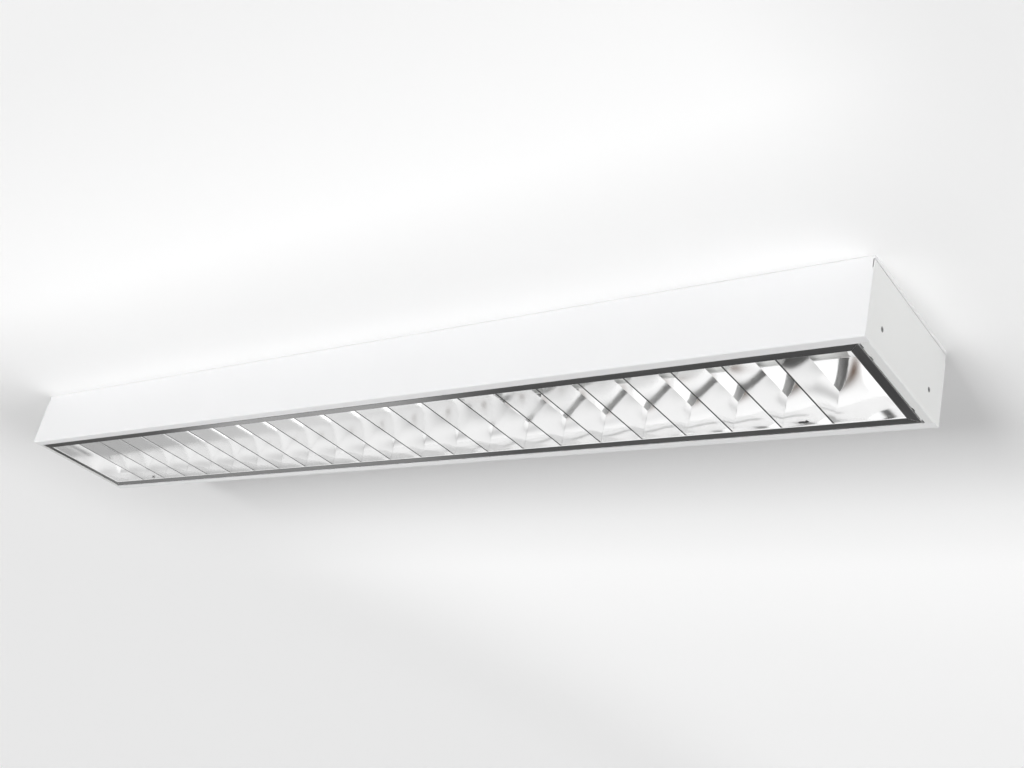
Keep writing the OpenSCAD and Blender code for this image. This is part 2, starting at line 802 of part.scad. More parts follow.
// Eyelet in the rear reflector for the louvre's retaining cord
module tether_eyelet() {
    front = side_in(eyelet_h + eyelet_r) - run_fit - eyelet_t;
    back = side_out(eyelet_h - eyelet_r) + run_fit + eyelet_t;
    color("silver") translate([eyelet_x, front, rim_z + eyelet_h]) rotate([-90, 0, 0]) difference() {
        union() {
            cylinder(h = eyelet_t, r = eyelet_r);
            cylinder(h = back - front, r = eyelet_bore_r + eyelet_t);
            translate([0, 0, back - front - eyelet_t]) cylinder(h = eyelet_t, r = eyelet_r*3/4);
        }
        translate([0, 0, -over]) cylinder(h = back - front + 2*over, r = eyelet_bore_r);
    }
}

// End reflector: upright edge, mitred rim and a mirror shaped like half a blade
module end_reflector_body() {
    mirror_h = blade_rise + blade_h;
    hs = [for (i = [0:blade_steps]) blade_h*i/blade_steps];
    difference() {
        union() {
            translate([0, 0, rim_z]) linear_extrude(height = mirror_t) polygon([
                [louvre_half_l, louvre_half_w - mitre_gap],
                [inner_half_l, inner_half_w - mitre_gap],
                [inner_half_l, -inner_half_w + mitre_gap],
                [louvre_half_l, -louvre_half_w + mitre_gap]]);
            translate([louvre_half_l - mirror_t, -louvre_half_w + mirror_t, rim_z])
                cube([mirror_t, 2*(louvre_half_w - mirror_t), upstand_h]);
            intersection() {
                along_y(2*inner_half_w) polygon(concat(
                    [for (h = hs) [end_mirror_x(h), blade_z + h]],
                    [for (i = [blade_steps:-1:0]) [end_mirror_x(hs[i]) + mirror_t, blade_z + hs[i]]],
                    [[inner_half_l + mirror_t, rim_z], [inner_half_l, rim_z]]));
                along_x(2*louvre_half_l) cell_section(stand_off, 0, mirror_h + over);
            }
            translate([inner_half_l + end_rim_w/2, 0, rim_z - pip_h])
                cylinder(h = pip_h + mirror_t/2, r = pip_r);
        }
        for (s = [-1, 1])
            rod_x(louvre_half_l - mirror_t - over, louvre_half_l + over, s*hinge_y, hinge_z,
                  hinge_r + run_fit);
        rod_x(louvre_half_l - mirror_t - over, louvre_half_l + over, catch_y, catch_rivet_z,
              small_rivet_r + run_fit);
    }
}

function end_mirror_x(h) = inner_half_l - blade_half(h) + blade_bottom_w/2;

module end_reflector_right() {
    color("silver") end_reflector_body();
}

module end_reflector_left() {
    color("silver") on_left() end_reflector_body();
}

// Cross blade: a folded V with parabolic legs, and tabs through the side reflectors
module blade_section() {
    hs = [for (i = [0:blade_steps]) blade_h*i/blade_steps];
    inner = [for (i = [blade_steps:-1:1]) hs[i]];
    polygon(concat(
        [for (h = hs) [blade_half(h), h]],
        [for (h = inner) [blade_inner(h), h]],
        [[blade_inner(blade_t), blade_t], [-blade_inner(blade_t), blade_t]],
        [for (i = [1:blade_steps]) [-blade_inner(hs[i]), hs[i]]],
        [for (i = [blade_steps:-1:0]) [-blade_half(hs[i]), hs[i]]]));
}

module tab_band(at, h) {
    z1 = blade_rise + at;
    z2 = z1 + h;
    polygon([
        [side_in(z1) + tab_reach, rim_z + z1], [side_in(z2) + tab_reach, rim_z + z2],
        [-side_in(z2) - tab_reach, rim_z + z2], [-side_in(z1) - tab_reach, rim_z + z1]]);
}

module cross_blade(i) {
    color("silver") translate([blade_x(i), 0, 0]) intersection() {
        translate([0, 0, blade_z]) along_y(2*louvre_half_w) blade_section();
        along_x(2*blade_top_w) {
            cell_section(stand_off, blade_rise/2, blade_rise + blade_h + over);
            tab_band(low_at, low_h);
            tab_band(high_at, high_h);
        }
    }
}

// Hinge pin: riveted through the front corner of the louvre, into the bracket's eye
module hinge_pin_body() {
    inner = louvre_half_l - 2*mirror_t;
    rod_x(inner - rivet_head_t, inner, hinge_y, hinge_z, rivet_head_r);
    rod_x(inner - rivet_head_t, cap_in - stand_off, hinge_y, hinge_z, hinge_r);
    rod_x(louvre_half_l, louvre_half_l + rivet_head_t, hinge_y, hinge_z, rivet_head_r);
}

module hinge_pin_right() {
    color("lightgray") hinge_pin_body();
}

module hinge_pin_left() {
    color("lightgray") on_left() hinge_pin_body();
}

// Rivets of the rear corners and of the catch springs
module louvre_rivets() {
    inner = louvre_half_l - 2*mirror_t;
    color("lightgray") for (side = [0, 1]) mirror([side, 0, 0]) {
        rod_x(inner - rivet_head_t, inner, -hinge_y, hinge_z, rivet_head_r);
        rod_x(inner - rivet_head_t, louvre_half_l + rivet_head_t, -hinge_y, hinge_z, hinge_r);
        rod_x(louvre_half_l, louvre_half_l + rivet_head_t, -hinge_y, hinge_z, rivet_head_r);
        rod_x(louvre_half_l - mirror_t - small_rivet_head_t, louvre_half_l - mirror_t,
              catch_y, catch_rivet_z, small_rivet_head_r);
        rod_x(louvre_half_l - mirror_t - small_rivet_head_t,
              louvre_half_l + catch_t + small_rivet_head_t, catch_y, catch_rivet_z, small_rivet_r);
        rod_x(louvre_half_l + catch_t, louvre_half_l + catch_t + small_rivet_head_t,
              catch_y, catch_rivet_z, small_rivet_head_r);
    }
}

// Catch spring: a leaf on the louvre's upright end edge, with a bead over the keeper's ledge
module catch_spring_body() {
    bead_z = ledge_z + stand_off;
    top_z = bead_z + catch_bead_h;
    x = louvre_half_l;
    color("lightsteelblue") difference() {
        translate([0, catch_y, 0]) along_y(catch_w) polygon([
            [x, catch_foot_z], [x + catch_t, catch_foot_z], [x + catch_t, bead_z],
            [x + catch_bead, bead_z + catch_t], [x + catch_bead, bead_z + 2*catch_t],
            [x + catch_t, top_z], [x, top_z - catch_t],
            [x + catch_bead - 2*catch_t, bead_z + 2*catch_t], [x, bead_z + catch_t]]);
        rod_x(x - over, x + catch_t + over, catch_y, catch_rivet_z, small_rivet_r + run_fit);
    }
}

module catch_spring_right() {
    catch_spring_body();
}

module catch_spring_left() {
    on_left() catch_spring_body();
}

housing_shell();
end_cap_left();
end_cap_right();
end_cap_screws();
hinge_bracket_left();
hinge_bracket_right();
catch_keeper_left();
catch_keeper_right();
gear_tray();
holder_bracket_left();
holder_bracket_right();
lampholder_left();
lampholder_right();
panel_screws();
ballast();
ballast_terminals();
terminal_block();
earth_terminal();
cable_bush();
rotor_left();
rotor_right();
lamp_tube();
lamp_cap_left();
lamp_cap_right();
lamp_pins();
side_reflector_front();
side_reflector_rear();
end_reflector_left();
end_reflector_right();
hinge_pin_left();
hinge_pin_right();
louvre_rivets();
catch_spring_left();
catch_spring_right();
tether_eyelet();
for (i = [1:blade_count]) cross_blade(i);
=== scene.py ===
import math
from itertools import pairwise

import bmesh
import bpy
from mathutils import Matrix, Vector


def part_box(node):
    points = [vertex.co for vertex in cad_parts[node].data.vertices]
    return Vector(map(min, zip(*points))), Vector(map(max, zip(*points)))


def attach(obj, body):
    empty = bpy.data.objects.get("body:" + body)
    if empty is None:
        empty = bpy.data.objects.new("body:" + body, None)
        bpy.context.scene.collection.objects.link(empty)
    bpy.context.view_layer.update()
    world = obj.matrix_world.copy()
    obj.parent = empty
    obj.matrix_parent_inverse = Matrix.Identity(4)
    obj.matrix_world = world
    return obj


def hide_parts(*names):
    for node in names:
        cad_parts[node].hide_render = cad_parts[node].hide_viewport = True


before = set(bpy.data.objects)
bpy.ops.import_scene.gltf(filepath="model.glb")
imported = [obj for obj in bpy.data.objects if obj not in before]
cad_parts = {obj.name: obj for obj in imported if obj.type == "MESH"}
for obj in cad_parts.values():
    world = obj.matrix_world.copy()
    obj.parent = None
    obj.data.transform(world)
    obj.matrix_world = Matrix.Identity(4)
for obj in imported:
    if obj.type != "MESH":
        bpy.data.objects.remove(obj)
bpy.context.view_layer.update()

scene = bpy.context.scene
mm = 0.001


# Camera, fitted to the corners of the body and the ends of the blades
cameraFit = {
    "place": (1.0534, -0.98204, -0.64238),
    "right": (0.71851, 0.64661, 0.25619),
    "up": (0.06126, -0.42575, 0.90276),
    "ahead": (-0.69281, 0.63295, 0.34552),
    "focalPixels": 1255.3,
    "centrePixel": (354.6, 457.3),
    "image": (1024, 768),
    "sensor": 36.0,
    "clip": (0.02, 200),
}


def makeCamera(fit):
    data = bpy.data.cameras.new("camera")
    wide, high = fit["image"]
    data.sensor_width = fit["sensor"]
    data.lens = fit["focalPixels"] * fit["sensor"] / wide
    data.shift_x = (wide / 2 - fit["centrePixel"][0]) / wide
    data.shift_y = (fit["centrePixel"][1] - high / 2) / wide
    data.clip_start, data.clip_end = fit["clip"]
    view = bpy.data.objects.new("camera", data)
    scene.collection.objects.link(view)
    turn = Matrix((fit["right"], fit["up"], [-part for part in fit["ahead"]])).transposed()
    view.matrix_world = Matrix.Translation(fit["place"]) @ turn.to_4x4()
    scene.camera = view


makeCamera(cameraFit)
print("camera placed")


# Shader arithmetic
class Signal:
    # a node's output that takes part in Python sums
    def __init__(self, paint, socket):
        self.paint, self.socket = paint, socket

    def sum(self, operation, *terms):
        return self.paint.node("ShaderNodeMath", {"operation": operation}, dict(enumerate(terms)))

    def __add__(self, other):
        return self.sum("ADD", self, other)

    def __sub__(self, other):
        return self.sum("SUBTRACT", self, other)

    def __rsub__(self, other):
        return self.sum("SUBTRACT", other, self)

    def __mul__(self, other):
        return self.sum("MULTIPLY", self, other)

    def __truediv__(self, other):
        return self.sum("DIVIDE", self, other)

    def __pow__(self, other):
        return self.sum("POWER", self, other)

    __radd__, __rmul__ = __add__, __mul__


class Paint:
    # one node tree, emptied, with a single way to add a node
    def __init__(self, tree):
        self.tree = tree
        tree.nodes.clear()

    def node(self, kind, settings=None, inputs=None, output=0):
        made = self.tree.nodes.new(kind)
        for name, value in (settings or {}).items():
            if name == "stops":
                ramp = made.color_ramp.elements
                while len(ramp) < len(value):
                    ramp.new(0.5)
                for stop, (place, colour) in zip(ramp, value):
                    stop.position, stop.color = place, colour
            else:
                setattr(made, name, value)
        for name, value in (inputs or {}).items():
            if isinstance(value, Signal):
                self.tree.links.new(value.socket, made.inputs[name])
            else:
                made.inputs[name].default_value = value
        return Signal(self, made.outputs[output]) if made.outputs else None

    def split(self, kind, inputs, names):
        # a node of which several outputs are used
        outputs = self.node(kind, {}, inputs).socket.node.outputs
        return [Signal(self, outputs[name]) for name in names]

    def axes(self, vector):
        return self.split("ShaderNodeSeparateXYZ", {0: vector}, ("X", "Y", "Z"))

    def rays(self):
        # what kind of ray looks: from the camera, or from metal and through glass
        names = ("Is Camera Ray", "Is Glossy Ray", "Is Transmission Ray")
        camera, glossy, through = self.split("ShaderNodeLightPath", {}, names)
        return camera, glossy + through

    def place(self, stretch=(1, 1, 1)):
        here = self.node("ShaderNodeTexCoord", output="Object")
        return self.node("ShaderNodeMapping", {}, {"Vector": here, "Scale": stretch})

    def noise(self, scale, detail=3, rough=0.6, stretch=(1, 1, 1)):
        inputs = {"Vector": self.place(stretch), "Scale": scale, "Detail": detail, "Roughness": rough}
        return self.node("ShaderNodeTexNoise", {}, inputs)

    def cells(self, scale):
        found = self.node("ShaderNodeTexVoronoi", {"feature": "F1"},
                          {"Vector": self.place(), "Scale": scale}, "Color")
        return self.node("ShaderNodeSeparateColor", {}, {0: found})

    def blend(self, share, dark, light):
        return self.node("ShaderNodeMix", {"data_type": "RGBA"},
                         {"Factor": share, 6: dark, 7: light}, output=2)

    def span(self, value, low, high, outLow, outHigh):
        return self.node("ShaderNodeMapRange", {"interpolation_type": "SMOOTHSTEP"},
                         {0: value, 1: low, 2: high, 3: outLow, 4: outHigh})

    def bump(self, height, distance, strength=1.0, under=None):
        inputs = {"Strength": strength, "Distance": distance, "Height": height}
        if under:
            inputs["Normal"] = under
        return self.node("ShaderNodeBump", {}, inputs)

    def mixShader(self, share, first, second):
        return self.node("ShaderNodeMixShader", {}, {0: share, 1: first, 2: second})

    def surface(self, sockets, under=None, share=None):
        # share of the main shader over a second one
        shader = self.node("ShaderNodeBsdfPrincipled", {}, sockets)
        if under:
            shader = self.mixShader(share, under, shader)
        self.node("ShaderNodeOutputMaterial", {}, {"Surface": shader})


def newPaint(name):
    material = bpy.data.materials.new(name)
    material.use_nodes = True
    return material, Paint(material.node_tree)


def tone(level, tint=(1, 1, 1)):
    return (*[level * part for part in tint], 1)


def around(base, noise, spread):
    # a value that a noise, whose middle is a half, moves up and down
    return base + (noise - 0.5) * spread


# Finishes
def powderCoat(name, look):
    material, paint = newPaint(name)
    cloudy = paint.noise(look["cloudScale"], detail=2, rough=0.5)
    colour = paint.blend(cloudy, look["dark"], look["light"])
    peel = paint.noise(look["peelScale"], detail=2, rough=0.45)
    fine = paint.noise(look["fineScale"])
    relief = paint.bump(fine, look["fineDepth"], strength=0.4)
    relief = paint.bump(peel, look["peelDepth"], strength=0.6, under=relief)
    paint.surface({"Base Color": colour, "Roughness": around(look["roughness"], fine, spread=0.08),
                   "Normal": relief, "IOR": 1.5, "Coat Weight": look["coat"], "Coat Roughness": 0.18})
    return material


def mirrorSheet(name, look):
    material, paint = newPaint(name)
    grain = paint.noise(look["grainScale"], detail=4, stretch=look["grainStretch"])
    wave = paint.noise(look["waveScale"], detail=1, rough=0.4, stretch=look["waveStretch"])
    haze = paint.noise(look["hazeScale"])
    relief = paint.bump(wave, look["waveDepth"], under=paint.bump(grain, look["grainDepth"]))
    rough = around(look["roughness"], grain, look["grainHaze"]) + haze ** 3 * look["haze"]
    colour = paint.blend(haze, look["dark"], look["light"])
    if "rimPaintedReflection" in look:
        # the lowest faces, which look straight down, carry a painted dark reflection instead of mirroring the
        # room
        height = paint.axes(paint.place())[2]
        above = paint.span(height, *look["rimEnds"], 0, 1)
        dark = paint.blend(grain, *look["rimPaintedReflection"])
        colour = paint.blend(above, dark, colour)
    sockets = {"Base Color": colour, "Metallic": 1.0, "Roughness": rough, "Normal": relief}
    # the painted dark reflection can also be laid on as a matte shade
    if look.get("rimPaintedMatte"):
        paint.surface(sockets, paint.node("ShaderNodeBsdfDiffuse", {}, {"Color": dark}), above)
    else:
        paint.surface(sockets)
    return material


def platedSteel(name, look):
    material, paint = newPaint(name)
    spangle = paint.cells(look["spangle"])
    fine = paint.noise(look["fine"])
    share = look["spangleShare"]
    colour = paint.blend(spangle * share + fine * (1 - share), look["dark"], look["light"])
    rough = around(look["roughness"], spangle, spread=0.12)
    paint.surface({"Base Color": colour, "Metallic": 1.0, "Roughness": around(rough, fine, spread=0.1),
                   "Normal": paint.bump(fine, look["depth"], strength=0.5)})
    return material


def turnedMetal(name, look):
    # fine rings round the X axis, as a lathe or a drawing die leaves
    material, paint = newPaint(name)
    rings = paint.noise(look["rings"], detail=2, stretch=(1, 0.02, 0.02))
    worn = paint.noise(look["worn"])
    colour = paint.blend(worn, look["dark"], look["light"])
    paint.surface({"Base Color": colour, "Metallic": 1.0,
                   "Roughness": around(look["roughness"], rings, spread=0.15),
                   "Normal": paint.bump(rings, look["depth"], strength=0.5)})
    return material


def mouldedPlastic(name, look):
    material, paint = newPaint(name)
    grain = paint.noise(look["grain"], detail=2)
    shade = paint.noise(look["shade"], detail=2, rough=0.5)
    colour = paint.blend(shade, look["dark"], look["light"])
    paint.surface({"Base Color": colour, "Roughness": around(look["roughness"], grain, spread=0.12),
                   "Normal": paint.bump(grain, look["depth"], strength=0.5), "IOR": 1.49})
    return material


def lampGlass(name, look):
    # white coated tube that greys towards its ends
    material, paint = newPaint(name)
    along = paint.axes(paint.node("ShaderNodeTexCoord", output="Object"))[0]
    reach = along.sum("ABSOLUTE", along)
    powder = paint.noise(look["powder"])
    band = paint.span(around(reach, powder, look["ragged"]), look["greyFrom"], look["greyTo"], 0, 1)
    colour = paint.blend(band, look["light"], look["grey"])
    dusty = paint.noise(look["dust"])
    paint.surface({"Base Color": paint.blend(dusty * look["dustShare"], colour, look["dark"]),
                   "Roughness": look["roughness"] + dusty * look["dustHaze"], "IOR": 1.52,
                   "Normal": paint.bump(powder, look["depth"], strength=0.3)})
    return material


housingCoat = powderCoat("housingCoat", {
    "dark": tone(0.845, (1, 1.003, 1.01)), "light": tone(0.875, (1, 1.003, 1.01)), "roughness": 0.36,
    "cloudScale": 5, "peelScale": 700, "peelDepth": 0.012 * mm,
    "fineScale": 2600, "fineDepth": 0.004 * mm, "coat": 0.15})
capCoat = powderCoat("capCoat", {
    "dark": tone(0.80, (1, 1.006, 0.995)), "light": tone(0.83, (1, 1.006, 0.995)), "roughness": 0.4,
    "cloudScale": 7, "peelScale": 650, "peelDepth": 0.014 * mm,
    "fineScale": 2400, "fineDepth": 0.004 * mm, "coat": 0.15})
trayCoat = powderCoat("trayCoat", {
    "dark": tone(0.84), "light": tone(0.87), "roughness": 0.42,
    "cloudScale": 6, "peelScale": 800, "peelDepth": 0.012 * mm,
    "fineScale": 2600, "fineDepth": 0.004 * mm, "coat": 0.1})
# a rim or a blade's lower edge carries a painted dark reflection up to the first of its rimEnds and is bright
# from the second
mirrorLook = {
    "dark": tone(0.86), "light": tone(0.92), "grainScale": 1500, "grainDepth": 0.0012 * mm, "grainHaze": 0.05,
    "haze": 0.06, "rimPaintedReflection": (tone(0.03), tone(0.1)), "rimEnds": (-79.42 * mm, -79.15 * mm)}
sideMirror = mirrorSheet("sideMirror", {
    **mirrorLook, "roughness": 0.085, "grainStretch": (0.02, 1, 1), "hazeScale": 14,
    "waveScale": 22, "waveStretch": (1, 0.7, 0.7), "waveDepth": 0.08 * mm})
endLook = {
    **mirrorLook, "roughness": 0.09, "grainStretch": (1, 0.02, 1), "hazeScale": 18,
    "waveScale": 30, "waveStretch": (1, 0.8, 1), "waveDepth": 0.07 * mm}
bladeMirror = mirrorSheet("bladeMirror", endLook)
# the blades' lower edges carry a darker painted reflection, laid on as a matte shade
vaneMirror = mirrorSheet("vaneMirror", {
    **endLook, "rimPaintedReflection": (tone(0.07), tone(0.13)), "rimEnds": (-78.45 * mm, -78.25 * mm), "rimPaintedMatte": True})
bladeBack = mirrorSheet("bladeBack", {
    "dark": tone(0.88), "light": tone(0.95), "roughness": 0.5,
    "grainScale": 900, "grainStretch": (1, 0.02, 1), "grainDepth": 0.004 * mm, "grainHaze": 0.08,
    "waveScale": 30, "waveStretch": (1, 0.8, 1), "waveDepth": 0.05 * mm,
    "hazeScale": 30, "haze": 0.05})
zincPlate = platedSteel("zincPlate", {
    "dark": tone(0.55), "light": tone(0.72, (0.98, 1, 1.02)), "spangle": 160, "fine": 960,
    "spangleShare": 0.7, "roughness": 0.34, "depth": 0.01 * mm})
ballastSheet = platedSteel("ballastSheet", {
    "dark": tone(0.6), "light": tone(0.74, (0.99, 1, 1.01)), "spangle": 90, "fine": 540,
    "spangleShare": 0.7, "roughness": 0.4, "depth": 0.008 * mm})
screwZinc = turnedMetal("screwZinc", {
    "dark": tone(0.5), "light": tone(0.7), "rings": 2500, "worn": 300,
    "roughness": 0.32, "depth": 0.01 * mm})
darkScrew = turnedMetal("darkScrew", {
    "dark": tone(0.24), "light": tone(0.4), "rings": 2500, "worn": 400,
    "roughness": 0.42, "depth": 0.01 * mm})
springSteel = turnedMetal("springSteel", {
    "dark": tone(0.3, (0.95, 1, 1.1)), "light": tone(0.42, (0.95, 1, 1.12)), "rings": 1800, "worn": 250,
    "roughness": 0.3, "depth": 0.006 * mm})
rivetAluminium = turnedMetal("rivetAluminium", {
    "dark": tone(0.62), "light": tone(0.8), "rings": 2200, "worn": 500,
    "roughness": 0.26, "depth": 0.008 * mm})
capAluminium = turnedMetal("capAluminium", {
    "dark": tone(0.6), "light": tone(0.75), "rings": 1400, "worn": 220,
    "roughness": 0.28, "depth": 0.01 * mm})
pinBrass = turnedMetal("pinBrass", {
    "dark": (0.55, 0.4, 0.16, 1), "light": (0.74, 0.58, 0.28, 1), "rings": 2200, "worn": 600,
    "roughness": 0.28, "depth": 0.008 * mm})
holderPlastic = mouldedPlastic("holderPlastic", {
    "dark": (0.78, 0.78, 0.74, 1), "light": (0.84, 0.84, 0.8, 1), "grain": 1600, "shade": 30,
    "roughness": 0.34, "depth": 0.01 * mm})
terminalPlastic = mouldedPlastic("terminalPlastic", {
    "dark": (0.74, 0.74, 0.71, 1), "light": (0.8, 0.8, 0.77, 1), "grain": 1300, "shade": 40,
    "roughness": 0.5, "depth": 0.015 * mm})
bushPlastic = mouldedPlastic("bushPlastic", {
    "dark": tone(0.06), "light": tone(0.09), "grain": 1200, "shade": 50,
    "roughness": 0.55, "depth": 0.02 * mm})
tubeGlass = lampGlass("tubeGlass", {
    "light": (0.86, 0.865, 0.85, 1), "dark": (0.74, 0.74, 0.72, 1), "grey": (0.3, 0.29, 0.28, 1),
    "powder": 260, "dust": 35, "dustShare": 0.2, "dustHaze": 0.1, "roughness": 0.07,
    "ragged": 6 * mm, "greyFrom": 566 * mm, "greyTo": 597 * mm, "depth": 0.006 * mm})
print("finishes mixed")


# CAD nodes that keep their shape
nodeFinish = {
    "housing_shell": housingCoat, "end_cap_left": capCoat, "end_cap_right": capCoat,
    "gear_tray": trayCoat, "end_cap_screws": darkScrew, "panel_screws": screwZinc,
    "hinge_bracket_left": zincPlate, "hinge_bracket_right": zincPlate,
    "catch_keeper_left": zincPlate, "catch_keeper_right": zincPlate,
    "holder_bracket_left": zincPlate, "holder_bracket_right": zincPlate,
    "lampholder_left": holderPlastic, "lampholder_right": holderPlastic,
    "rotor_left": holderPlastic, "rotor_right": holderPlastic,
    "ballast": ballastSheet, "ballast_terminals": terminalPlastic, "terminal_block": terminalPlastic,
    "earth_terminal": pinBrass, "cable_bush": bushPlastic,
    "lamp_tube": tubeGlass, "lamp_cap_left": capAluminium, "lamp_cap_right": capAluminium,
    "lamp_pins": pinBrass, "hinge_pin_left": screwZinc, "hinge_pin_right": screwZinc,
    "louvre_rivets": rivetAluminium, "catch_spring_left": springSteel, "catch_spring_right": springSteel,
    "tether_eyelet": rivetAluminium,
}


def coat(piece, material):
    piece.data.materials.clear()
    piece.data.materials.append(material)


for nodeName, material in nodeFinish.items():
    coat(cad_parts[nodeName], material)
print("CAD nodes coated")


# Sheet pieces of the louvre
louvre = {
    "halfWidth": 75.7 * mm, "halfLength": 629.5 * mm,
    "innerHalfWidth": 64.5 * mm, "innerHalfLength": 619.0 * mm,
    "rimZ": -79.5 * mm, "sheet": 0.5 * mm, "mitreGap": 0.1 * mm,
    "focal": 32 * mm, "mirrorHeight": 58 * mm, "upstand": 12.5 * mm, "lip": 5 * mm,
    # the mirror's own rows begin above bendShare of the bend's radius
    "bendRadius": 0.7 * mm, "bendMargin": 0.25 * mm, "bendShare": 1.5, "rows": 56,
    # how far a sheet is swept before its ends move out to where they belong
    "draftHalfLength": 600 * mm, "draftHalfWidth": 30 * mm,
}
crossBlade = {
    "count": 22, "pitch": 52.431 * mm, "bottomWidth": 1.6 * mm, "topWidth": 11 * mm,
    "sheet": 0.4 * mm, "rise": 1 * mm, "height": 29.6 * mm, "endGap": 0.1 * mm, "tabReach": 1.3 * mm,
    "lowTab": (3.5 * mm, 6.5 * mm), "highTab": (19 * mm, 23 * mm), "slotGap": 0.06 * mm, "slotRows": 4,
    # tabStep is the height over which a tab begins or ends
    "tabStep": 0.02 * mm, "rows": 30,
}
bladeNumbers = range(1, crossBlade["count"] + 1)
# lengths that differ by less, or agree to this many digits in metres, count as one
tiny, digits = 0.001 * mm, 7


def steps(low, high, count):
    return [low + (high - low) * step / count for step in range(count + 1)]


def mirrorHalfWidth(height):
    # inner face of a side reflector at a height above the rim: a parabola
    return louvre["innerHalfWidth"] - height * height / (4 * louvre["focal"])


def bladeHalfWidth(height):
    flare = (crossBlade["topWidth"] - crossBlade["bottomWidth"]) / 2
    return crossBlade["bottomWidth"] / 2 + flare * (height / crossBlade["height"]) ** 2


def bladeCentre(number):
    return (number - (crossBlade["count"] + 1) / 2) * crossBlade["pitch"]


def fromBlade(x):
    # offset along X from the middle of the nearest blade
    return min((x - bladeCentre(number) for number in bladeNumbers), key=abs)


def roundBend(corner, before, after, radius, parts=4):
    # points of an arc that eases the corner between two neighbours
    toBefore = (Vector(before) - Vector(corner)).normalized()
    toAfter = (Vector(after) - Vector(corner)).normalized()
    half = toBefore.angle(toAfter) / 2
    centre = Vector(corner) + (toBefore + toAfter).normalized() * radius / math.sin(half)
    start = Vector(corner) + toBefore * radius / math.tan(half) - centre
    end = Vector(corner) + toAfter * radius / math.tan(half) - centre
    sweep = start.angle_signed(end)
    return [centre + Matrix.Rotation(-sweep * part / parts, 2) @ start for part in range(parts + 1)]


def rimOutline(inner, outer):
    # upright edge, its bend, the flat rim and the bend into the mirror, with points that keep the flats flat
    rim, radius, margin = louvre["rimZ"], louvre["bendRadius"], louvre["bendMargin"]
    top = rim + louvre["upstand"]
    edge = roundBend((outer, rim), (outer, top), (inner, rim), radius)
    bend = roundBend((inner, rim), (outer, rim), (inner, top), radius)
    points = [(outer, top), (outer, rim + radius + margin), *edge]
    points += [(outer - radius - margin, rim), (inner + radius + margin, rim), *bend]
    return [tuple(point) for point in points]


def layAlongX(point, along):
    return Vector((along, *point))


def layAlongY(point, along):
    return Vector((point[0], along, point[1]))


def sweepSheet(outline, stations, lay, ends):
    # draws an outline, extrudes it from station to station and moves the points of both ends out
    bm = bmesh.new()
    start = [bm.verts.new(lay(point, stations[0])) for point in outline]
    edges = [bm.edges.new(pair) for pair in pairwise(start)]
    for before, after in pairwise(stations):
        grown = bmesh.ops.extrude_edge_only(bm, edges=edges)["geom"]
        edges = [part for part in grown if isinstance(part, bmesh.types.BMEdge)]
        verts = [part for part in grown if isinstance(part, bmesh.types.BMVert)]
        step = lay((0, 0), after) - lay((0, 0), before)
        bmesh.ops.translate(bm, verts=verts, vec=step)
    for side, station in ((-1, stations[0]), (1, stations[-1])):
        for vert in bm.verts:
            along = vert.co.dot(lay((0, 0), 1))
            if abs(along - station) < tiny:
                point = min(range(len(outline)), key=lambda i: (lay(outline[i], station) - vert.co).length)
                vert.co += lay((0, 0), side * ends[point]) - lay((0, 0), station)
    return bm


def finishSheet(bm, name, thickness, material, body, replaced, extras=()):
    # gives a folded sheet its thickness behind the bright side, which faces down on its flat part
    bm.normal_update()
    flat = max(bm.faces, key=lambda face: abs(face.normal.z) * (1 + face.calc_area()))
    if flat.normal.z > 0:
        bmesh.ops.reverse_faces(bm, faces=bm.faces[:])
    bright = set(bm.faces)
    bmesh.ops.solidify(bm, geom=bm.faces[:], thickness=thickness)
    for face in bm.faces:
        face.material_index = 0 if face in bright else 1
    bmesh.ops.recalc_face_normals(bm, faces=bm.faces[:])
    for extra in extras:
        extra(bm)
    piece = addPiece(bm, name, material, body, replaced)
    piece.data.materials.append(bladeBack)
    return piece


def addPiece(bm, name, material, body, replaced, smoothBelow=30):
    mesh = bpy.data.meshes.new(name)
    bm.to_mesh(mesh)
    bm.free()
    mesh.shade_smooth()
    mesh.set_sharp_from_angle(angle=math.radians(smoothBelow))
    piece = bpy.data.objects.new(name, mesh)
    scene.collection.objects.link(piece)
    mesh.materials.append(material)
    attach(piece, body)
    if replaced:
        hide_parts(*replaced)
    return piece


def slotSpans():
    # the slots of one blade as (x from, x to, height from, height to), seen on a side reflector
    gap, rise = crossBlade["slotGap"], crossBlade["rise"]
    low, high = crossBlade["lowTab"], crossBlade["highTab"]
    lowHalf = bladeHalfWidth(low[1]) + gap
    spans = [(-lowHalf, lowHalf, rise + low[0] - gap, rise + low[1] + gap)]
    # the upper slots follow the leg's curve in short rows
    for bottom, top in pairwise(steps(*high, crossBlade["slotRows"])):
        inner, outer = bladeHalfWidth(bottom) - crossBlade["sheet"] - gap, bladeHalfWidth(top) + gap
        spans += [(inner, outer, rise + bottom, rise + top), (-outer, -inner, rise + bottom, rise + top)]
    return spans


# how near to an outline a face has to lie to be cut, and how squarely it has to face it
pierceReach = {"along": 20 * mm, "up": 4 * mm, "facing": 0.5}


